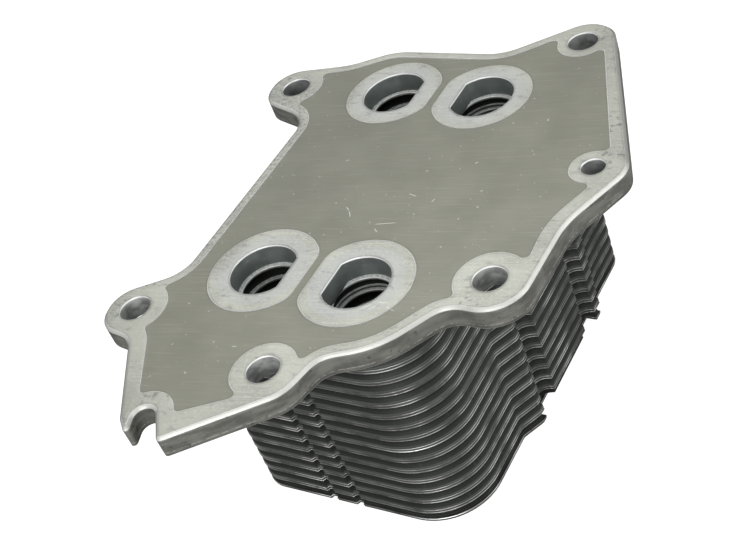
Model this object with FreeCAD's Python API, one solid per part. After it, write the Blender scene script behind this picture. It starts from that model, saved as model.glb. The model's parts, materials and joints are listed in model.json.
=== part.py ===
import FreeCAD, Part
import cmath
import math
import os

# Stacked-plate engine oil cooler, in millimetres.
# The sealing face of the base plate is z = 0 and the core hangs below it.
# x runs across the two port columns and y along them.

# Pins of an outline that are closer than this have no straight line between them
SHORTEST_LINE = 0.01

# Base plate
PLATE_THICKNESS = 6.3
EDGE_CHAMFER = 0.8
FIELD_DEPTH = 0.15
BOLT_HOLE_RADIUS = 4.5
SMALL_HOLE_RADIUS = 3.3

# Outline of the base plate as a belt around round pins, clockwise:
# centre x, centre y, radius, and +1 where the plate is inside the pin, -1 where it is outside
PLATE_PINS = (
    (-50.6, 38.8, 9.5, 1),
    (-45.1, 70.3, 20.0, -1),
    (-19.5, 41.4, 18.0, 1),
    (7.0, 73.4, 14.0, -1),
    (35.1, 66.0, 9.4, 1),
    (59.4, 11.8, 9.1, 1),
    (85.4, -14.7, 25.0, -1),
    (49.5, -31.6, 10.7, 1),
    (46.5, -50.0, 7.8, -1),
    (14.7, -38.6, 25.0, 1),
    (24.8, -70.0, 7.8, -1),
    (5.6, -70.9, 10.7, 1),
    (-9.6, -95.6, 1.3, 1),
    (-18.1, -91.4, 3.05, -1),
    (-20.9, -95.5, 0.9, 1),
    (-22.6, -91.9, 2.4, 1),
    (-44.8, -76.0, 7.9, -1),
    (-45.0, -58.7, 9.2, 1),
    (-49.1, -38.2, 10.0, -1),
    (-49.0, 17.8, 10.0, -1),
)

# Bolt holes: centre x, centre y, hole radius, radius of the machined land
BOLT_HOLES = (
    (-50.6, 38.8, BOLT_HOLE_RADIUS, 8.7),
    (35.1, 66.0, BOLT_HOLE_RADIUS, 7.4),
    (59.4, 11.8, SMALL_HOLE_RADIUS, 6.4),
    (49.5, -31.6, BOLT_HOLE_RADIUS, 9.4),
    (5.6, -70.9, BOLT_HOLE_RADIUS, 8.8),
    (-45.0, -58.7, BOLT_HOLE_RADIUS, 9.4),
)
NOTCH_LAND = (-18.1, -91.4, 8.0)

# Ports: four D-shaped holes in the base plate over round holes in the core plates
PORT_X = 14.7
PORT_Y = 38.6
PORT_RADIUS = 9.45
PORT_FLAT_X = 7.0
PORT_CORNER = 0.8
PORT_LANDS = ((1, PORT_RADIUS + 5.25), (-1, PORT_RADIUS + 6.25))
LAND_FLAT_X = PORT_FLAT_X - 5.7
LAND_CORNER = 6.0

# Duller field between the machined lands: it keeps this far inside the outline, apart
# from a wider border at the right and an end of its own short of the notched tail
FIELD_MARGIN = 3.4
RIGHT_PINS = (
    (58.3, 11.8, 9.1, 1),
    (84.2, -14.7, 25.0, -1),
)
TAIL_PINS = (
    (-11.6, -87.6, 4.9, 1),
    (-22.8, -84.2, 4.9, 1),
    (-44.8, -76.0, 10.0, -1),
)
FIELD_PINS = PLATE_PINS[:5] + RIGHT_PINS + PLATE_PINS[7:12] + TAIL_PINS + PLATE_PINS[17:]
FIELD_FILLET = 1.6

# Core
SHEET = 0.8
PITCH = 4.355
DISH_COUNT = 15
DISH_HEIGHT = 5.5
COLLAR_HEIGHT = 2.0
INNER_TOP_INSET = 1.8
CORE_PORT_RADIUS = 8.4
PORT_COLLAR_BORE = CORE_PORT_RADIUS + 0.8
PORT_COLLAR_OUTSIDE = PORT_COLLAR_BORE + 1.2
PORT_SIDES = 12
ROUND_PORT_COUNT = 2
END_STEP = 2.5
END_LIP = 1.9
END_ROUND = 0.9

# Plan of the rims: the near side has two key notches, and the right side steps out
# into a bulge with two bolt pockets
LEFT_X = -38.0
NEAR_Y = -54.8
FAR_Y = 58.8
RIGHT_X = 34.4
BULGE_X = 37.8
BULGE_START_Y = -20.2
BULGE_FULL_Y = -13.6
BULGE_END_Y = 32.5
BULGE_CORNER = 2.4
BIG_CORNER = 18.0
NEAR_LEFT_CORNER = 8.0
FAR_RIGHT_CORNER = 6.5
NOTCH_XS = (-11.65, -2.6)
NOTCH_DEPTH = 1.0
NOTCH_HALF_WIDTHS = (1.25, 0.75)
POCKET_YS = (-7.5, 24.5)
POCKET_DEPTH = 4.2
POCKET_RADIUS = 3.8
POCKET_SWEEP = math.radians(75)
TAB_YS = (-11.6, 28.6, 31.6)

# Turbulators in the oil channels
TURBULATOR_X = 31.0
TURBULATOR_Y = 27.0
WAVE_COUNT = 5
WAVE_SHEET = 0.3


def vec(x, y, z=0.0):
    return FreeCAD.Vector(x, y, z)


def to_vec(point, z):
    return vec(point.real, point.imag, z)


def line(start, end):
    return {"start": start, "end": end}


def arc(centre, start, end, clockwise):
    return {"start": start, "end": end, "centre": centre, "clockwise": clockwise}


def sweep_of(part):
    """Start angle and swept angle of an arc, both counter-clockwise."""
    first, last = part["start"], part["end"]
    if part["clockwise"]:
        first, last = last, first
    begin = cmath.phase(first - part["centre"])
    return begin, (cmath.phase(last - part["centre"]) - begin) % (2 * math.pi)


def belt_path(pins, inset=0.0):
    """Clockwise outline around pins, pulled in by inset on every side."""
    circles = [(complex(x, y), side * (radius - side * inset)) for x, y, radius, side in pins]
    leaving = []
    arriving = []
    for i, (centre, signed) in enumerate(circles):
        next_centre, next_signed = circles[(i + 1) % len(circles)]
        span = next_centre - centre
        change = next_signed - signed
        length = math.sqrt(max(abs(span) ** 2 - change ** 2, 0.0))
        heading = span * complex(length, change)
        normal = heading / abs(heading) * complex(0, -1)
        start = centre - signed * normal
        end = next_centre - next_signed * normal
        leaving.append(start)
        arriving.append(end if abs(end - start) > SHORTEST_LINE else start)
    path = []
    for i, (centre, signed) in enumerate(circles):
        path.append(arc(centre, arriving[i - 1], leaving[i], signed > 0))
        if arriving[i] != leaving[i]:
            path.append(line(leaving[i], arriving[i]))
    return path


def corner_path(corners, inset=0.0):
    """Counter-clockwise outline through rounded corners, pulled in by inset on every side."""
    points = [complex(x, y) for x, y, _ in corners]
    headings = []
    for i, point in enumerate(points):
        step = points[(i + 1) % len(points)] - point
        headings.append(step / abs(step))
    rounds = []
    for i, (_, _, radius) in enumerate(corners):
        before, after = headings[i - 1], headings[i]
        angle = cmath.phase(after / before)
        side = 1 if angle > 0 else -1
        inward = complex(0, 1) * (before + after) / (1 + math.cos(angle))
        point = points[i] + inward * inset
        radius = radius - side * inset if radius else 0.0
        reach = radius * math.tan(abs(angle) / 2)
        start = point - before * reach
        rounds.append((start, point + after * reach, start + before * complex(0, side) * radius, side))
    path = []
    for i, (start, end, centre, side) in enumerate(rounds):
        if corners[i][2]:
            path.append(arc(centre, start, end, side < 0))
        following = rounds[(i + 1) % len(rounds)][0]
        path.append(line(end, following))
    return path


def wire_at(path, z):
    edges = []
    for part in path:
        start, end = to_vec(part["start"], z), to_vec(part["end"], z)
        if "centre" in part:
            begin, sweep = sweep_of(part)
            radius = abs(part["start"] - part["centre"])
            middle = part["centre"] + cmath.rect(radius, begin + sweep / 2)
            edges.append(Part.Arc(start, to_vec(middle, z), end).toShape())
        else:
            edges.append(Part.makeLine(start, end))
    return Part.Wire(edges)


def side_face(low, z_low, high, z_high):
    """Flat or conical wall between one part of an outline and the same part higher up."""
    if "centre" not in low:
        ends = [to_vec(low["start"], z_low), to_vec(low["end"], z_low)]
        ends += [to_vec(high["end"], z_high), to_vec(high["start"], z_high)]
        return Part.Face(Part.makePolygon(ends + ends[:1]))
    begin, sweep = sweep_of(low)
    base = to_vec(low["centre"], z_low)
    radius_low = abs(low["start"] - low["centre"])
    radius_high = abs(high["start"] - high["centre"])
    angle = math.degrees(sweep)
    height = z_high - z_low
    if abs(radius_high - radius_low) < 1e-6:
        sector = Part.makeCylinder(radius_low, height, base, vec(0, 0, 1), angle)
    else:
        sector = Part.makeCone(radius_low, radius_high, height, base, vec(0, 0, 1), angle)
    sector.rotate(base, vec(0, 0, 1), math.degrees(begin))
    return [f for f in sector.Faces if not isinstance(f.Surface, Part.Plane)][0]


def tapered(paths, heights):
    """Solid through the same outline at several heights."""
    faces = [Part.Face(wire_at(paths[0], heights[0])), Part.Face(wire_at(paths[-1], heights[-1]))]
    for i in range(len(paths) - 1):
        for low, high in zip(paths[i], paths[i + 1]):
            faces.append(side_face(low, heights[i], high, heights[i + 1]))
    shell = Part.Compound(faces)
    shell.sewShape()
    solid = Part.Solid(shell.Shells[0])
    if solid.Volume < 0:
        solid.reverse()
    return solid


def prism(path, z, height):
    return Part.Face(wire_at(path, z)).extrude(vec(0, 0, height))


def d_pins(side_x, centre_y, radius, flat_x, corner):
    """Pins of a D whose flat faces x = 0, on the side given by side_x."""
    corner_x = flat_x + corner
    reach = math.sqrt((radius - corner) ** 2 - (PORT_X - corner_x) ** 2)
    return [
        (side_x * PORT_X, centre_y, radius, 1),
        (side_x * corner_x, centre_y - side_x * reach, corner, 1),
        (side_x * corner_x, centre_y + side_x * reach, corner, 1),
    ]


def ports():
    for side_x in (-1, 1):
        for side_y in (1, -1):
            yield side_x, side_y


def make_field():
    """Shallow recess between the machined lands, with its corners rounded off."""
    field = Part.Face(wire_at(belt_path(FIELD_PINS, FIELD_MARGIN), -FIELD_DEPTH))
    lands = [(x, y, land) for x, y, _, land in BOLT_HOLES] + [NOTCH_LAND]
    for x, y, land in lands:
        circle = Part.makeCircle(land, vec(x, y, -FIELD_DEPTH))
        field = field.cut(Part.Face(Part.Wire(circle)))
    field = max(field.Faces, key=lambda face: face.Area)
    field = field.makeOffset2D(-FIELD_FILLET).makeOffset2D(FIELD_FILLET)
    recess = field.extrude(vec(0, 0, 1))
    for side_y, land in PORT_LANDS:
        for side_x in (-1, 1):
            pins = d_pins(side_x, side_y * PORT_Y, land, LAND_FLAT_X, LAND_CORNER)
            recess = recess.cut(prism(belt_path(pins), -1.0, 2.0))
    return recess


def make_base_plate():
    outline = belt_path(PLATE_PINS)
    eased = belt_path(PLATE_PINS, EDGE_CHAMFER)
    plate = tapered([outline, outline, eased], [-PLATE_THICKNESS, -EDGE_CHAMFER, 0.0])
    below, height = -2 * PLATE_THICKNESS, 3 * PLATE_THICKNESS
    for side_x, side_y in ports():
        pins = d_pins(side_x, side_y * PORT_Y, PORT_RADIUS, PORT_FLAT_X, PORT_CORNER)
        plate = plate.cut(prism(belt_path(pins), below, height))
    for x, y, radius, _ in BOLT_HOLES:
        plate = plate.cut(Part.makeCylinder(radius, height, vec(x, y, below)))
    return plate.cut(make_field())


def floor_z(index):
    """Top of the floor of a core plate, numbered from 1 at the base plate."""
    return -PLATE_THICKNESS - PITCH * (index - 1)


def notch(x):
    """Corners of a flat-bottomed key notch in the near side."""
    wide, narrow = NOTCH_HALF_WIDTHS
    floor = NEAR_Y + NOTCH_DEPTH
    return [(x - wide, NEAR_Y, 0), (x - narrow, floor, 0), (x + narrow, floor, 0), (x + wide, NEAR_Y, 0)]


def pocket(y):
    """Corners of a round-bottomed pocket in the side of the bulge."""
    reach = POCKET_DEPTH - POCKET_RADIUS + POCKET_RADIUS / math.cos(POCKET_SWEEP)
    half = reach / math.tan(POCKET_SWEEP)
    return [(BULGE_X, y - half, 0), (BULGE_X - reach, y, POCKET_RADIUS), (BULGE_X, y + half, 0)]


def near_side():
    """Corners along the near side, with its two key notches."""
    corners = [(LEFT_X, NEAR_Y, NEAR_LEFT_CORNER)]
    for x in NOTCH_XS:
        corners += notch(x)
    corners.append((RIGHT_X, NEAR_Y, BIG_CORNER))
    corners.append((RIGHT_X, BULGE_START_Y, BULGE_CORNER))
    corners.append((BULGE_X, BULGE_FULL_Y, BULGE_CORNER))
    return corners


def rim_corners():
    corners = near_side()
    for y in POCKET_YS:
        corners += pocket(y)
    corners += [(BULGE_X, BULGE_END_Y, 0.0), (RIGHT_X, BULGE_END_Y, 0.0)]
    return corners + [(RIGHT_X, FAR_Y, FAR_RIGHT_CORNER), (LEFT_X, FAR_Y, BIG_CORNER)]


def end_corners():
    """Plan of the end plate, which reaches into the bulge only with two tabs."""
    tab_end, next_start, next_end = TAB_YS
    corners = near_side()
    corners += [(BULGE_X, tab_end, 0.0), (RIGHT_X, tab_end, 0.0)]
    corners += [(RIGHT_X, next_start, 0.0), (BULGE_X, next_start, 0.0)]
    corners += [(BULGE_X, next_end, 0.0), (RIGHT_X, next_end, 0.0)]
    return corners + [(RIGHT_X, FAR_Y, FAR_RIGHT_CORNER), (LEFT_X, FAR_Y, BIG_CORNER)]


def top_inset():
    """How far the outside of a rim leans in at its floor, so that the next one nests in it."""
    return SHEET * (DISH_HEIGHT - COLLAR_HEIGHT) / (PITCH - COLLAR_HEIGHT)


def port_plug(side_x, side_y, radius, low, high, is_round):
    """Plug on the axis of a port; out of sight, deep in the stack, it has few flat sides."""
    base = vec(side_x * PORT_X, side_y * PORT_Y, low)
    if is_round:
        return Part.makeCylinder(radius, high - low, base)
    turns = [2 * math.pi * i / PORT_SIDES for i in range(PORT_SIDES + 1)]
    points = [base + to_vec(cmath.rect(radius, turn), 0.0) for turn in turns]
    return Part.Face(Part.makePolygon(points)).extrude(vec(0, 0, high - low))


def make_dish(sealed_side, is_round):
    """A core plate with the top of its floor at z = 0 and its rim below.

    The collars on the ports of the sealed side reach down to the next core plate.
    """
    corners = rim_corners()
    insets = [0.0, 0.0, top_inset()]
    heights = [-DISH_HEIGHT, COLLAR_HEIGHT - DISH_HEIGHT, 0.0]
    outer = tapered([corner_path(corners, inset) for inset in insets], heights)
    insets = [SHEET, INNER_TOP_INSET]
    inner = tapered([corner_path(corners, inset) for inset in insets], [-DISH_HEIGHT, -SHEET])
    dish = outer.cut(inner)
    for side_x, side_y in ports():
        if side_x == sealed_side:
            collar = port_plug(side_x, side_y, PORT_COLLAR_OUTSIDE, -PITCH, -SHEET, is_round)
            bore = port_plug(side_x, side_y, PORT_COLLAR_BORE, -PITCH, -SHEET, is_round)
            dish = dish.fuse(collar.cut(bore))
        dish = dish.cut(port_plug(side_x, side_y, CORE_PORT_RADIUS, -2 * SHEET, SHEET, is_round))
    return dish


def make_end_plate():
    """Thick plate that closes the last core plate, with a stepped edge below the last rim."""
    top = floor_z(DISH_COUNT + 1)
    seat = floor_z(DISH_COUNT) - DISH_HEIGHT - END_STEP
    corners = rim_corners()
    insets = [SHEET, top_inset()]
    plate = tapered([corner_path(corners, inset) for inset in insets], [seat, top])
    corners = end_corners()
    bottom = seat - END_LIP
    insets = [END_ROUND, 0.0, 0.0]
    heights = [bottom, bottom + END_ROUND, seat]
    return plate.fuse(tapered([corner_path(corners, inset) for inset in insets], heights))


def make_turbulator(index):
    """Corrugated sheet that fills an oil channel between the ports."""
    top = floor_z(index) - SHEET
    bottom = floor_z(index + 1)
    step = 2 * TURBULATOR_Y / (4 * WAVE_COUNT)
    upper = []
    for i in range(4 * WAVE_COUNT + 1):
        level = top if i % 4 in (0, 1) else bottom + WAVE_SHEET
        upper.append((i * step - TURBULATOR_Y, level))
    points = [vec(-TURBULATOR_X, y, z) for y, z in upper]
    points += [vec(-TURBULATOR_X, y, z - WAVE_SHEET) for y, z in reversed(upper)]
    wire = Part.makePolygon(points + [points[0]])
    return Part.Face(wire).extrude(vec(2 * TURBULATOR_X, 0, 0))


def write(shape, name):
    shape.exportStep(os.path.join("parts", name + ".step"))


def main():
    write(make_base_plate(), "base_plate")
    deep_dishes = {side: make_dish(side, False) for side in (1, -1)}
    for index in range(1, DISH_COUNT + 1):
        sealed_side = 1 if index % 2 else -1
        plate = deep_dishes[sealed_side].copy()
        if index <= ROUND_PORT_COUNT:
            plate = make_dish(sealed_side, True)
        plate.translate(vec(0, 0, floor_z(index)))
        write(plate, "core_plate_%02d" % index)
    for index in range(1, DISH_COUNT + 1, 2):
        write(make_turbulator(index), "turbulator_%02d" % index)
    write(make_end_plate(), "end_plate")


main()
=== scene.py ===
import bpy
import json
import math
from mathutils import Matrix, Vector

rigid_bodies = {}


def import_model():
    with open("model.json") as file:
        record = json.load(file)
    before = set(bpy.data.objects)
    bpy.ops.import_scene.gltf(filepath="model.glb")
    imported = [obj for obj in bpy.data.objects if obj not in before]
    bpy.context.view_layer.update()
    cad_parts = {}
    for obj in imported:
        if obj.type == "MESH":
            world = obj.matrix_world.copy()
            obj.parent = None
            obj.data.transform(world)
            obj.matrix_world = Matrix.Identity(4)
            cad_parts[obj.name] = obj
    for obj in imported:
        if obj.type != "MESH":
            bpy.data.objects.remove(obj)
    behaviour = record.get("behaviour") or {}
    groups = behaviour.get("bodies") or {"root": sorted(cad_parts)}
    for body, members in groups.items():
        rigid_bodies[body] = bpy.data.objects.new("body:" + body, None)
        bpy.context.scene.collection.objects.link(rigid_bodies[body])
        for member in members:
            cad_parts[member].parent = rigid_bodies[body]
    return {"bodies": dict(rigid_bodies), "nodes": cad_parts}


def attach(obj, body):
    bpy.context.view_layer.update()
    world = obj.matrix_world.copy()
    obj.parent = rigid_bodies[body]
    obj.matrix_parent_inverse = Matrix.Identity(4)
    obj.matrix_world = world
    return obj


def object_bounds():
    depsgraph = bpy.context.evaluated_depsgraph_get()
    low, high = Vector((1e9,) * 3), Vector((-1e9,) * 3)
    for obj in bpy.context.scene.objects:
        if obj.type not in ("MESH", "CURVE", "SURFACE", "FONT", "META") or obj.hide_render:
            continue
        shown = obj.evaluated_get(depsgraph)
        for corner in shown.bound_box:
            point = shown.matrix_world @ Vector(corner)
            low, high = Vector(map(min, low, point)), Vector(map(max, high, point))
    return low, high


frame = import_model()
cad_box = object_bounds()

MM = 0.001

# Camera, in millimetres and degrees
CAMERA_PLACE = (198.6, -229.4, 210.4)
CAMERA_TARGET = (-9.8, -8.2, -30.0)
CAMERA_ROLL = -22.73
LENS = 66.18
SENSOR_WIDTH = 36.0

# Lights: name, place, target and size in millimetres, energy in watts
LIGHTS = [("key", (-235, 262, 400), (0, 0, 0), (340, 320), 1.15)]
LIGHTS.append(("front", (170, -450, 170), (10, -20, -30), (300, 200), 1.7))
LIGHTS.append(("right", (420, 120, 120), (20, 0, -30), (200, 260), 0.85))

# Strength of the sky near the horizon and overhead
SKY_LOW = 0.12
SKY_HIGH = 0.75

# White floor: half its side in metres, how much light it sends back and how much it glows to the camera
FLOOR_HALF = 3.0
FLOOR_GREY = 0.25
FLOOR_GLOW = 0.93

# Heights in the base plate, in millimetres: where the lands turn to field, where the walls of the
# holes turn to the painted highlight on their upper lips, the line that the shear left on the sides, and
# the lower side
FIELD_STEP = (-0.05, -0.11)
HOLE_LIP_HIGHLIGHT = (-0.55, -0.35)
SHEAR_LINE = -5.25
PLATE_FLOOR = -6.3

# Stack of core plates, the top of the end plate's edge, and where painted shade on the end plate begins
# above it
PITCH = 4.355
PLATE_COUNT = 15
FIRST_RIM = -11.8
END_TOP = -75.265
END_SHADE = (-74.9, -75.1)

# Ports in the base plate, the width of the land round them that is bluer, and the radius of the
# round ports in the core plates below
PORT_X = 14.7
PORT_Y = 38.6
PORT_RADIUS = 9.45
PORT_LAND = 3.6
CORE_PORT_RADIUS = 8.4

# Holes in the base plate: centre x, centre y, radius. Their walls lie within a margin of these circles
PORTS = [(x, y, PORT_RADIUS) for x in (-PORT_X, PORT_X) for y in (-PORT_Y, PORT_Y)]
BOLTS = [(-50.6, 38.8, 4.5), (35.1, 66.0, 4.5), (59.4, 11.8, 3.3), (49.5, -31.6, 4.5)]
BOLTS += [(5.6, -70.9, 4.5), (-45.0, -58.7, 4.5)]
HOLES = PORTS + BOLTS
CORE_HOLES = [(x, y, CORE_PORT_RADIUS) for x, y, _ in PORTS]
WALL_MARGIN = 0.4

# Smeared spots on the lands: centre x, centre y, radius
STAINS = [(-52.5, -59.5, 5.5), (-46.0, -48.5, 3.5), (-19.0, -84.0, 5.0), (-57.5, 39.0, 5.0)]
STAINS += [(40.5, 70.0, 4.0), (56.0, 30.0, 5.0), (48.0, -40.5, 2.5), (63.0, 15.0, 4.0)]

# Middle of the painted shade on the field: darkest there, and painted lighter far from it
FIELD_SHADE_CENTRE = (-30.0, 20.0)

# Direction of the fine scratches, across the view
SCRATCH_ANGLE = math.radians(-9.3)

# Single scratches on the plate: start x, start y, end x, end y
SCRATCHES = [(9.4, -18.8, 11.1, -20.2), (-3.5, -11.7, -1.6, -13.2), (-1.6, -13.2, 0.1, -15.7)]
SCRATCHES += [(12.4, -4.3, 15.6, -5.2), (20.8, -6.9, 21.2, -5.3), (8.3, -17.4, 15.2, -15.7)]
SCRATCHES += [(-7.7, -65.6, -6.0, -65.3), (26.9, -45.2, 30.3, -46.3), (20.7, -47.3, 23.1, -45.1)]
SCRATCHES += [(23.0, -47.5, 24.6, -45.2), (24.2, -44.3, 27.4, -44.0), (-2.0, -29.2, -5.2, -30.9)]

# Wires on the sheet edges of each rim: height above the rim, radius
LIP_RADIUS = 0.16
RIM_LIPS = [(LIP_RADIUS, LIP_RADIUS), (1.1, LIP_RADIUS * 0.8)]
END_LIP_RADIUS = 0.2

# The rim that carries a painted highlight streak, the middle and half width of that stretch in x, and
# its end in y
HIGHLIGHT_RIM = FIRST_RIM - 8 * PITCH + 0.6
HIGHLIGHT_X = 23.0
HIGHLIGHT_HALF = 13.0
HIGHLIGHT_NEAR = -20.0

# Wires on the port edges of the first core plates
LIT_PLATES = 4
PORT_RIM_RADIUS = 0.2
PORT_RIM_DEPTH = 0.15
PORT_RIM_POINTS = 72

# Bead on the first collar in the right ports: points of radius, height above the second core plate
BEAD = [(9.25, 0.9), (8.8, 0.95), (8.8, 1.2), (9.25, 1.3)]
BEAD_SIDES = 96


class Graph:
    """Short way to write the nodes of one material."""

    def __init__(self, name, metallic=0.0):
        self.material = bpy.data.materials.new(name)
        self.material.use_nodes = True
        self.tree = self.material.node_tree
        self.shader = self.tree.nodes["Principled BSDF"]
        self.shader.inputs["Metallic"].default_value = metallic
        geometry = self.tree.nodes.new("ShaderNodeNewGeometry")
        self.normal = geometry.outputs["Normal"]
        self.position = self.scale(geometry.outputs["Position"], 1 / MM)
        self.x, self.y, self.z = self.parts(self.position)
        self.across, self.along, self.up = self.parts(geometry.outputs["True Normal"])

    def node(self, kind, inputs, **settings):
        node = self.tree.nodes.new(kind)
        for name, value in settings.items():
            setattr(node, name, value)
        for key, value in inputs.items():
            self.feed(node.inputs[key], value)
        return node

    def feed(self, socket, value):
        if isinstance(value, bpy.types.NodeSocket):
            self.tree.links.new(value, socket)
        else:
            socket.default_value = value

    def math(self, operation, *values):
        inputs = dict(enumerate(values))
        return self.node("ShaderNodeMath", inputs, operation=operation).outputs[0]

    def plus(self, first, second):
        return self.math("ADD", first, second)

    def minus(self, first, second):
        return self.math("SUBTRACT", first, second)

    def times(self, first, second):
        return self.math("MULTIPLY", first, second)

    def larger(self, first, second):
        return self.math("MAXIMUM", first, second)

    def absolute(self, value):
        return self.math("ABSOLUTE", value)

    def scale(self, vector, factor):
        inputs = {0: vector, "Scale": factor}
        return self.node("ShaderNodeVectorMath", inputs, operation="SCALE").outputs[0]

    def parts(self, vector):
        return self.node("ShaderNodeSeparateXYZ", {0: vector}).outputs[:3]

    def ramp(self, value, low, high, start=0.0, end=1.0):
        """Smooth change from start to end while value goes from low to high."""
        inputs = {"Value": value, 1: low, 2: high, 3: start, 4: end}
        settings = {"interpolation_type": "SMOOTHSTEP", "clamp": True}
        return self.node("ShaderNodeMapRange", inputs, **settings).outputs[0]

    def peak(self, value, centre, width):
        """1 at the centre, falling to 0 at width from it."""
        return self.ramp(self.absolute(self.minus(value, centre)), 0.0, width, 1.0, 0.0)

    def noise(self, size, detail, stretch=(1, 1, 1), turn=0.0):
        """Noise with features of about size millimetres, drawn out along the stretched axes."""
        turned = self.node("ShaderNodeVectorRotate", {0: self.position, "Angle": turn})
        factors = tuple(1.0 / (size * factor) for factor in stretch)
        inputs = {0: turned.outputs[0], 1: factors}
        place = self.node("ShaderNodeVectorMath", inputs, operation="MULTIPLY").outputs[0]
        inputs = {"Vector": place, "Scale": 1.0, "Detail": detail}
        return self.node("ShaderNodeTexNoise", inputs).outputs[0]

    def mix(self, factor, first, second):
        node = self.tree.nodes.new("ShaderNodeMix")
        node.data_type = "RGBA"
        colours = [s for s in node.inputs if s.type == "RGBA"]
        self.feed(node.inputs[0], factor)
        self.feed(colours[0], first)
        self.feed(colours[1], second)
        return [s for s in node.outputs if s.type == "RGBA"][0]

    def rounded(self, radius):
        """Normal with the edges rounded over radius millimetres."""
        return self.node("ShaderNodeBevel", {"Radius": radius * MM}, samples=6).outputs[0]

    def edge(self, radius):
        """1 on sharp edges, 0 away from them, over radius millimetres."""
        inputs = {0: self.rounded(radius), 1: self.normal}
        agree = self.node("ShaderNodeVectorMath", inputs, operation="DOT_PRODUCT").outputs["Value"]
        return self.ramp(agree, 0.99, 0.86)

    def away(self, centre_x, centre_y):
        """Distance in millimetres from an upright axis."""
        across = self.minus(self.x, centre_x)
        along = self.minus(self.y, centre_y)
        return self.math("SQRT", self.plus(self.times(across, across), self.times(along, along)))

    def near(self, circles, margin):
        """1 inside any of the upright cylinders x, y, radius, grown by margin millimetres."""
        total = 0.0
        for centre_x, centre_y, radius in circles:
            inside = self.math("LESS_THAN", self.away(centre_x, centre_y), radius + margin)
            total = self.larger(total, inside)
        return total

    def stroke(self, start_x, start_y, end_x, end_y, width=0.2):
        """1 on a straight scratch, fading towards its ends."""
        half = math.hypot(end_x - start_x, end_y - start_y) / 2
        ahead, aside = (end_x - start_x) / 2 / half, (end_y - start_y) / 2 / half
        across = self.minus(self.x, (start_x + end_x) / 2)
        along = self.minus(self.y, (start_y + end_y) / 2)
        run = self.plus(self.times(across, ahead), self.times(along, aside))
        off = self.minus(self.times(across, aside), self.times(along, ahead))
        thin = self.ramp(self.absolute(off), 0.0, width, 1.0, 0.0)
        return self.times(thin, self.ramp(self.absolute(run), half * 0.5, half, 1.0, 0.0))

    def finish(self, colour, roughness, height=None, strength=0.2, distance=0.05, soften=0.0):
        """Feed the shader. The height makes bumps of distance millimetres."""
        self.feed(self.shader.inputs["Base Color"], colour)
        self.feed(self.shader.inputs["Roughness"], roughness)
        if height is not None:
            inputs = {"Height": height, "Strength": strength, "Distance": distance * MM}
            if soften:
                inputs["Normal"] = self.rounded(soften)
            bump = self.node("ShaderNodeBump", inputs)
            self.feed(self.shader.inputs["Normal"], bump.outputs[0])
        return self.material


def grey(level, warm=0.0, green=0.0):
    return (level * (1 + warm), level * (1 + green), level * (1 - warm), 1.0)


def land_colour(graph, scratches, cloud):
    """Bright machined lands, smudged, stained in places and rough on the left flank."""
    colour = graph.mix(graph.ramp(cloud, 0.35, 0.65), grey(0.26, 0.06, 0.085), grey(0.33, 0.06, 0.085))
    colour = graph.mix(graph.times(graph.near(PORTS, PORT_LAND), 0.5), colour, grey(0.32, -0.03, 0.02))
    colour = graph.mix(graph.ramp(scratches, 0.45, 0.75, 0.0, 0.4), colour, grey(0.46, 0.03, 0.05))
    smudge = graph.noise(3.0, 6.0, (1.6, 0.7, 1))
    colour = graph.mix(graph.ramp(smudge, 0.56, 0.72, 0.0, 0.55), colour, grey(0.15, 0.02))
    dirt = graph.times(graph.near(STAINS, 0.0), graph.ramp(graph.noise(2.0, 6.0), 0.50, 0.66))
    colour = graph.mix(graph.times(dirt, 0.7), colour, grey(0.09, 0.0, 0.03))
    on_left = graph.ramp(graph.x, -24.0, -30.0)
    flank = graph.times(on_left, graph.ramp(graph.absolute(graph.y), 50.0, 34.0))
    rough = graph.ramp(graph.noise(1.0, 6.0), 0.44, 0.60, 0.2, 0.8)
    colour = graph.mix(graph.times(flank, rough), colour, grey(0.15, 0.03, 0.06))
    light_grain = graph.ramp(graph.noise(0.8, 4.0), 0.48, 0.72, 0.0, 0.3)
    colour = graph.mix(light_grain, colour, grey(0.50, 0.03, 0.05))
    dark_grain = graph.ramp(graph.noise(2.2, 5.0), 0.40, 0.26, 0.0, 0.35)
    return graph.mix(dark_grain, colour, grey(0.17, 0.03, 0.05))


def field_colour(graph, scratches, fine, cloud):
    """Duller field between the lands, with spots and nicks, and painted shade darkest round one place,
    with painted light far from it.
    """
    spots = graph.ramp(graph.noise(1.6, 2.0), 0.70, 0.76)
    nick_shapes = graph.ramp(graph.noise(0.9, 2.0, (2.6, 0.5, 1), 0.7), 0.73, 0.78)
    nicks = graph.times(nick_shapes, graph.ramp(graph.noise(12.0, 2.0), 0.48, 0.58))
    colour = graph.mix(graph.ramp(cloud, 0.3, 0.7), grey(0.134, 0.12, 0.14), grey(0.160, 0.12, 0.14))
    colour = graph.mix(graph.ramp(scratches, 0.52, 0.75, 0.0, 0.3), colour, grey(0.30, 0.04, 0.02))
    colour = graph.mix(graph.times(spots, 0.5), colour, grey(0.50))
    colour = graph.mix(graph.times(nicks, 0.8), colour, grey(0.55))
    colour = graph.mix(graph.ramp(fine, 0.30, 0.44, 0.4, 0.0), colour, grey(0.11, 0.05))
    # Painted shade darkest round one place and fading with distance, then painted light far from it
    from_shade_centre = graph.away(*FIELD_SHADE_CENTRE)
    colour = graph.mix(graph.ramp(from_shade_centre, -20.0, 90.0, 0.22, 0.0), colour, grey(0.0))
    return graph.mix(graph.ramp(from_shade_centre, 60.0, 110.0, 0.0, 0.1), colour, grey(0.30, 0.06, 0.06))


def scratched(graph, colour):
    """The colour with the single bright scratches on it."""
    mask = 0.0
    for scratch in SCRATCHES:
        mask = graph.larger(mask, graph.stroke(*scratch))
    return graph.mix(graph.times(mask, 0.7), colour, grey(0.6, 0.0, 0.02))


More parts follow.
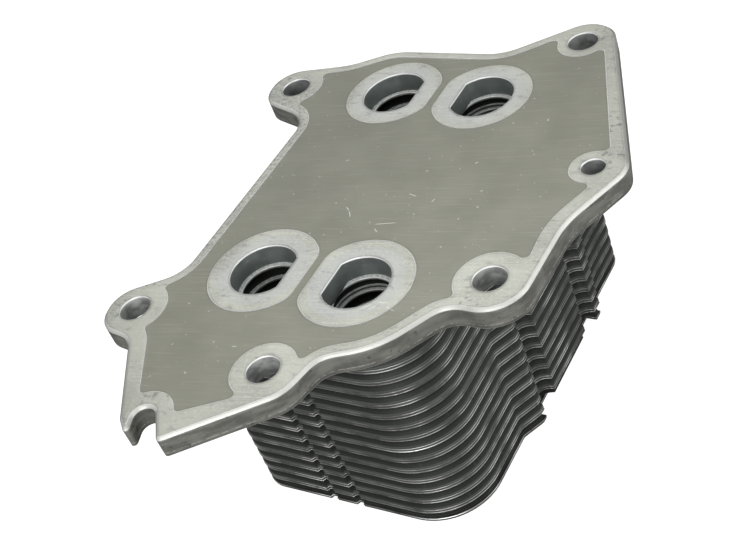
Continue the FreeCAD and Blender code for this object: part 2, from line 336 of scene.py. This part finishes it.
def chamfer_painted_light(graph, colour, on_top):
    """The colour with a chamfer painted with light: a painted sheen bright on its near right side and
    painted shade on its far left.
    """
    chamfer = graph.times(on_top, graph.ramp(graph.up, 0.97, 0.90))
    facing = graph.ramp(graph.minus(graph.times(graph.across, 0.6), graph.along), -0.2, 0.45)
    painted_sheen = graph.mix(facing, grey(0.12, 0.0, 0.03), grey(0.70, 0.02, 0.03))
    return graph.mix(graph.times(chamfer, 0.65), colour, painted_sheen)


def side_colour(graph, cloud, pits):
    """Dark cut sides, with streaks, pits and a broken bright line low down."""
    colour = graph.mix(graph.ramp(cloud, 0.35, 0.65), grey(0.11, 0.06, 0.06), grey(0.20, 0.06, 0.06))
    streaks = graph.noise(0.6, 3.0, (1, 1, 9))
    colour = graph.mix(graph.ramp(streaks, 0.55, 0.75, 0.0, 0.2), colour, grey(0.26, 0.04, 0.03))
    colour = graph.mix(graph.ramp(pits, 0.60, 0.72, 0.0, 0.6), colour, grey(0.04, 0.03))
    broken = graph.ramp(graph.noise(1.0, 2.0, (1, 1, 4)), 0.45, 0.55)
    shear = graph.times(graph.peak(graph.z, SHEAR_LINE, 0.22), broken)
    return graph.mix(graph.times(shear, 0.6), colour, grey(0.5))


def hole_colour(graph, side):
    """The side colour with the walls of the bolt holes and ports, painted shade on the bolt-hole walls
    towards the far side, and a painted highlight on their upper lips.
    """
    shade = graph.ramp(graph.noise(3.5, 4.0, (1, 1, 0.6)), 0.35, 0.65)
    bolt_wall = graph.mix(shade, grey(0.20, 0.0, 0.03), grey(0.42, 0.0, 0.03))
    # Painted shade: bolt-hole walls painted darker towards the far side of the plate
    bolt_wall = graph.mix(graph.ramp(graph.y, -50.0, 45.0, 0.0, 0.5), bolt_wall, grey(0.12, -0.02, 0.04))
    colour = graph.mix(graph.near(BOLTS, WALL_MARGIN), side, bolt_wall)
    shade = graph.ramp(graph.noise(5.0, 3.0), 0.35, 0.65)
    port_wall = graph.mix(shade, grey(0.115, -0.04, 0.09), grey(0.155, -0.04, 0.09))
    dents = graph.ramp(graph.noise(0.6, 2.0, (4, 4, 0.7)), 0.68, 0.74)
    port_wall = graph.mix(graph.times(dents, 0.5), port_wall, grey(0.4))
    colour = graph.mix(graph.near(PORTS, WALL_MARGIN), colour, port_wall)
    # Painted highlight: the top of every hole wall painted near white
    lip = graph.times(graph.near(HOLES, WALL_MARGIN), graph.ramp(graph.z, *HOLE_LIP_HIGHLIGHT))
    return graph.mix(lip, colour, grey(0.95))


def plate_material():
    """Machined lands, a duller field between them and dark cut sides."""
    graph = Graph("machined_plate", 0.35)
    on_top = graph.ramp(graph.up, 0.3, 0.6)
    in_field = graph.times(graph.ramp(graph.up, 0.90, 0.97), graph.ramp(graph.z, *FIELD_STEP))
    scratches = graph.noise(1.1, 6.0, (14, 0.35, 1), SCRATCH_ANGLE)
    fine = graph.noise(0.5, 4.0, (30, 0.4, 1), SCRATCH_ANGLE + 0.12)
    cloud = graph.noise(16.0, 4.0)
    side_cloud = graph.noise(4.0, 5.0, (1.8, 1.8, 0.5))
    pits = graph.noise(1.4, 5.0)
    land = land_colour(graph, scratches, cloud)
    field = field_colour(graph, scratches, fine, cloud)
    top = chamfer_painted_light(graph, scratched(graph, graph.mix(in_field, land, field)), on_top)
    side = hole_colour(graph, side_colour(graph, side_cloud, pits))
    colour = graph.mix(on_top, side, top)
    # Sharp edges painted light grey: partly edge wear, partly a painted highlight
    colour = graph.mix(graph.times(graph.edge(0.4), 0.8), colour, grey(0.80))
    roughness = graph.mix(on_top, grey(0.5), graph.mix(in_field, grey(0.44), grey(0.48)))
    roughness = graph.plus(roughness, graph.times(graph.minus(fine, 0.5), 0.2))
    rough_side = graph.plus(graph.times(side_cloud, 1.5), graph.times(pits, 0.8))
    height = graph.plus(graph.times(scratches, on_top), rough_side)
    return graph.finish(colour, roughness, height, 0.35, 0.06, 1.3)


def core_material():
    """Dark brazed sheet, with painted shade in the groove under each rim so the upright band shows
    lighter, and painted light making the port ledges brightest.
    """
    graph = Graph("core_sheet")
    phase = graph.math("FRACT", graph.math("DIVIDE", graph.minus(graph.z, FIRST_RIM), PITCH))
    band = graph.ramp(phase, 0.50, 0.44)
    shade = graph.ramp(phase, 0.98, 0.55)
    cloud = graph.noise(9.0, 4.0, (1, 1, 0.5))
    streaks = graph.noise(0.9, 4.0, (1, 1, 5))
    drawn = graph.noise(3.0, 4.0, (6, 6, 0.12))
    # Painted shade in the groove under each rim, darkest just below the lip above
    groove_painted_shade = graph.mix(shade, grey(0.010, 0.02, 0.14), grey(0.034, 0.02, 0.14))
    light = graph.mix(graph.ramp(cloud, 0.3, 0.7), grey(0.10, 0.02, 0.10), grey(0.135, 0.02, 0.10))
    light = graph.mix(graph.ramp(drawn, 0.5, 0.8, 0.0, 0.5), light, grey(0.06))
    colour = graph.mix(band, groove_painted_shade, light)
    colour = graph.mix(graph.ramp(streaks, 0.60, 0.80, 0.0, 0.3), colour, grey(0.14))
    # Painted light: up-facing port ledges painted bright, and the hole edges of the core plates a little
    # brighter
    ledge = graph.times(graph.near(PORTS, 0.0), graph.ramp(graph.up, 0.5, 0.8))
    ledge = graph.larger(ledge, graph.times(graph.near(CORE_HOLES, 0.15), 0.3))
    grain = graph.ramp(graph.noise(0.8, 4.0), 0.4, 0.65)
    painted_ledge_light = graph.mix(grain, grey(0.60, 0.0, 0.03), grey(0.90, 0.0, 0.03))
    colour = graph.mix(ledge, colour, painted_ledge_light)
    graph.feed(graph.shader.inputs["Metallic"], graph.minus(0.6, graph.times(ledge, 0.55)))
    roughness = graph.plus(0.38, graph.times(cloud, 0.2))
    height = graph.plus(cloud, graph.times(streaks, 0.5))
    return graph.finish(colour, roughness, height, 0.5, 0.12)


def end_material():
    """Thick end plate, painted darker above its edge as painted shade."""
    graph = Graph("end_sheet", 0.6)
    cloud = graph.noise(8.0, 4.0, (1, 1, 0.5))
    colour = graph.mix(graph.ramp(cloud, 0.3, 0.7), grey(0.05, 0.02, 0.10), grey(0.085, 0.02, 0.10))
    # Painted shade on the end plate above its edge
    colour = graph.mix(graph.ramp(graph.z, *END_SHADE, 0.75, 0.0), colour, grey(0.022, 0.02, 0.12))
    roughness = graph.plus(0.30, graph.times(cloud, 0.25))
    return graph.finish(colour, roughness, cloud, 0.4, 0.1)


def turbulator_material():
    """Dull corrugated sheet."""
    graph = Graph("turbulator_sheet", 0.7)
    cloud = graph.noise(2.0, 3.0)
    colour = graph.mix(cloud, grey(0.12), grey(0.26))
    return graph.finish(colour, 0.4, cloud, 0.3, 0.05)


def bead_material():
    """Bead inside the right ports, painted bright as painted light."""
    graph = Graph("port_ledge", 0.2)
    cloud = graph.noise(1.5, 3.0, (1, 1, 0.4))
    colour = graph.mix(graph.ramp(cloud, 0.3, 0.7), grey(0.40), grey(0.75))
    # Edges painted brighter still as a painted highlight
    colour = graph.mix(graph.times(graph.edge(0.2), 0.8), colour, grey(0.75))
    return graph.finish(colour, 0.35)


def port_rim_material():
    """Edges of the holes in the core plates, painted bright as painted light on edges that lie in shade.
    """
    graph = Graph("port_edge", 0.15)
    patches = graph.noise(4.0, 4.0)
    colour = graph.mix(graph.ramp(patches, 0.35, 0.6), grey(0.60), grey(0.95))
    return graph.finish(colour, 0.3)


def lip_material():
    """Bare cut edges of the sheet, with dull stretches, and a painted highlight streak on one rim and on
    the end plate.
    """
    graph = Graph("sheet_edge", 0.85)
    patches = graph.noise(7.0, 4.0)
    fine = graph.noise(0.8, 3.0)
    colour = graph.mix(graph.ramp(patches, 0.35, 0.65), grey(0.14, 0.02), grey(0.50, 0.01))
    colour = graph.mix(graph.ramp(fine, 0.55, 0.75, 0.0, 0.4), colour, grey(0.5))
    # Painted highlight streak along one rim and the end plate's edge, over one stretch on the near right
    on_rim = graph.peak(graph.z, HIGHLIGHT_RIM, 0.9)
    on_end = graph.peak(graph.z, END_TOP - END_LIP_RADIUS, 0.6)
    painted_streak = graph.times(graph.larger(on_rim, on_end), graph.peak(graph.x, HIGHLIGHT_X, HIGHLIGHT_HALF))
    painted_streak = graph.times(painted_streak, graph.math("LESS_THAN", graph.y, HIGHLIGHT_NEAR))
    colour = graph.mix(graph.math("MINIMUM", graph.times(painted_streak, 1.6), 1.0), colour, grey(0.95))
    return graph.finish(colour, graph.plus(0.25, graph.times(fine, 0.3)))


def paint(material, *names):
    for name in names:
        materials = frame["nodes"][name].data.materials
        materials.clear()
        materials.append(material)


def add_object(name, data):
    obj = bpy.data.objects.new(name, data)
    bpy.context.scene.collection.objects.link(obj)
    return obj


def add_trim(name, data, material):
    """Object that rides on the part's one body."""
    data.materials.append(material)
    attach(add_object(name, data), next(iter(frame["bodies"])))


def spun(name, profile, centre, sides, material):
    """Ring turned from a closed profile of (radius, z) points, in millimetres."""
    vertices = []
    for i in range(sides):
        turn = 2 * math.pi * i / sides
        for radius, z in profile:
            x = centre[0] + radius * math.cos(turn)
            y = centre[1] + radius * math.sin(turn)
            vertices.append((x * MM, y * MM, z * MM))
    count = len(profile)
    faces = []
    for i in range(sides):
        start, after = i * count, (i + 1) % sides * count
        for j in range(count):
            k = (j + 1) % count
            faces.append((start + j, after + j, after + k, start + k))
    mesh = bpy.data.meshes.new(name)
    mesh.from_pydata(vertices, [], faces)
    add_trim(name, mesh, material)


def wire(name, points, radius, material):
    """Thin closed wire through points, in millimetres."""
    curve = bpy.data.curves.new(name, "CURVE")
    curve.dimensions = "3D"
    curve.bevel_depth = radius * MM
    curve.bevel_resolution = 2
    spline = curve.splines.new("POLY")
    spline.points.add(len(points) - 1)
    for point, place in zip(spline.points, points):
        point.co = (place[0] * MM, place[1] * MM, place[2] * MM, 1)
    spline.use_cyclic_u = True
    add_trim(name, curve, material)


def edge_loop(node, height):
    """Points in order round the outer edge of an upright band of a CAD piece at that height."""
    level_within = 0.01
    upright_within = 0.02
    mesh = frame["nodes"][node].data
    place = frame["nodes"][node].matrix_world
    points = [place @ vertex.co / MM for vertex in mesh.vertices]
    neighbours = {}
    for face in mesh.polygons:
        corners = [points[i] for i in face.vertices]
        normal = (corners[1] - corners[0]).cross(corners[2] - corners[0]).normalized()
        if abs(normal.z) > upright_within:
            continue
        for ends in face.edge_keys:
            if all(abs(points[i].z - height) < level_within for i in ends):
                first, last = [tuple(round(c, 3) for c in points[i]) for i in ends]
                neighbours.setdefault(first, set()).add(last)
                neighbours.setdefault(last, set()).add(first)
    start = min(neighbours)
    loop = [start]
    while True:
        onward = [p for p in neighbours[loop[-1]] if p not in loop[-2:]]
        if not onward or onward[0] == start:
            return loop
        loop.append(onward[0])


def rim_lips(material):
    """Rounded sheet edges that catch the light on every rim and on the end plate."""
    for index in range(PLATE_COUNT):
        loop = edge_loop("core_plate_%02d" % (index + 1), FIRST_RIM - index * PITCH)
        for row, (height, radius) in enumerate(RIM_LIPS):
            raised = [(x, y, z + height) for x, y, z in loop]
            wire("rim_lip_%02d_%d" % (index + 1, row), raised, radius, material)
    lowered = [(x, y, z - END_LIP_RADIUS) for x, y, z in edge_loop("end_plate", END_TOP)]
    wire("end_lip", lowered, END_LIP_RADIUS, material)


def port_rims(material):
    """Bright edges of the holes in the first core plates, seen down the ports."""
    turns = [2 * math.pi * i / PORT_RIM_POINTS for i in range(PORT_RIM_POINTS)]
    for index in range(LIT_PLATES):
        height = PLATE_FLOOR - index * PITCH - PORT_RIM_DEPTH
        for port, (x, y, radius) in enumerate(CORE_HOLES):
            loop = [(x + radius * math.cos(t), y + radius * math.sin(t), height) for t in turns]
            wire("port_rim_%d_%d" % (index + 1, port + 1), loop, PORT_RIM_RADIUS, material)


def collar_beads(material):
    """Bead round each collar between the first two core plates, in the right ports."""
    profile = [(radius, PLATE_FLOOR - PITCH + height) for radius, height in BEAD]
    for row, y in enumerate((-PORT_Y, PORT_Y)):
        spun("collar_bead_%d" % (row + 1), profile, (PORT_X, y), BEAD_SIDES, material)


def area_light(name, place, target, size, energy):
    data = bpy.data.lights.new(name, "AREA")
    data.shape = "RECTANGLE"
    data.size, data.size_y = size[0] * MM, size[1] * MM
    data.energy = energy
    obj = add_object(name, data)
    obj.location = Vector(place) * MM
    aim = (Vector(target) - Vector(place)).to_track_quat("-Z", "Y")
    obj.rotation_euler = aim.to_euler()


def white_floor():
    """Floor that is white to the camera, where it shows only the object's shadow."""
    low = cad_box[0][2]
    corners = [(x, y, low) for x, y in ((-FLOOR_HALF, -FLOOR_HALF), (FLOOR_HALF, -FLOOR_HALF),
                                        (FLOOR_HALF, FLOOR_HALF), (-FLOOR_HALF, FLOOR_HALF))]
    mesh = bpy.data.meshes.new("floor")
    mesh.from_pydata(corners, [], [(0, 1, 2, 3)])
    material = bpy.data.materials.new("floor")
    material.use_nodes = True
    tree = material.node_tree
    shader = tree.nodes["Principled BSDF"]
    shader.inputs["Base Color"].default_value = grey(FLOOR_GREY)
    shader.inputs["Roughness"].default_value = 1.0
    shader.inputs["Specular IOR Level"].default_value = 0.0
    glow = tree.nodes.new("ShaderNodeEmission")
    path = tree.nodes.new("ShaderNodeLightPath")
    share = tree.nodes.new("ShaderNodeMath")
    share.operation = "MULTIPLY"
    share.inputs[1].default_value = FLOOR_GLOW
    tree.links.new(path.outputs["Is Camera Ray"], share.inputs[0])
    tree.links.new(share.outputs[0], glow.inputs["Strength"])
    adder = tree.nodes.new("ShaderNodeAddShader")
    tree.links.new(shader.outputs[0], adder.inputs[0])
    tree.links.new(glow.outputs[0], adder.inputs[1])
    tree.links.new(adder.outputs[0], tree.nodes["Material Output"].inputs["Surface"])
    mesh.materials.append(material)
    add_object("floor", mesh)


def world():
    """White to the camera, and a soft grey sky for light."""
    scene_world = bpy.data.worlds.new("studio")
    bpy.context.scene.world = scene_world
    scene_world.use_nodes = True
    tree = scene_world.node_tree
    tree.nodes.clear()
    white = tree.nodes.new("ShaderNodeBackground")
    white.inputs["Strength"].default_value = 1.0
    white.inputs["Color"].default_value = grey(1.0)
    sky = tree.nodes.new("ShaderNodeBackground")
    sky.inputs["Color"].default_value = grey(1.0)
    rays = tree.nodes.new("ShaderNodeTexCoord")
    split = tree.nodes.new("ShaderNodeSeparateXYZ")
    tree.links.new(rays.outputs["Generated"], split.inputs[0])
    height = tree.nodes.new("ShaderNodeMapRange")
    for socket, value in enumerate((-0.1, 0.9, SKY_LOW, SKY_HIGH), 1):
        height.inputs[socket].default_value = value
    tree.links.new(split.outputs[2], height.inputs[0])
    tree.links.new(height.outputs[0], sky.inputs["Strength"])
    path = tree.nodes.new("ShaderNodeLightPath")
    mixer = tree.nodes.new("ShaderNodeMixShader")
    output = tree.nodes.new("ShaderNodeOutputWorld")
    tree.links.new(path.outputs["Is Camera Ray"], mixer.inputs[0])
    tree.links.new(sky.outputs[0], mixer.inputs[1])
    tree.links.new(white.outputs[0], mixer.inputs[2])
    tree.links.new(mixer.outputs[0], output.inputs[0])


def camera():
    data = bpy.data.cameras.new("camera")
    data.lens = LENS
    data.sensor_width = SENSOR_WIDTH
    data.clip_start = 0.01
    place, target = Vector(CAMERA_PLACE) * MM, Vector(CAMERA_TARGET) * MM
    aim = (target - place).to_track_quat("-Z", "Y").to_matrix().to_4x4()
    roll = Matrix.Rotation(math.radians(CAMERA_ROLL), 4, "Z")
    obj = add_object("camera", data)
    obj.matrix_world = Matrix.Translation(place) @ aim @ roll
    bpy.context.scene.camera = obj


def main():
    names = sorted(frame["nodes"])
    paint(plate_material(), "base_plate")
    paint(core_material(), *[name for name in names if name.startswith("core_plate")])
    paint(turbulator_material(), *[name for name in names if name.startswith("turbulator")])
    paint(end_material(), "end_plate")
    collar_beads(bead_material())
    rim_lips(lip_material())
    port_rims(port_rim_material())
    world()
    white_floor()
    for light in LIGHTS:
        area_light(*light)
    camera()
    bpy.context.scene.view_settings.view_transform = "Standard"


main()
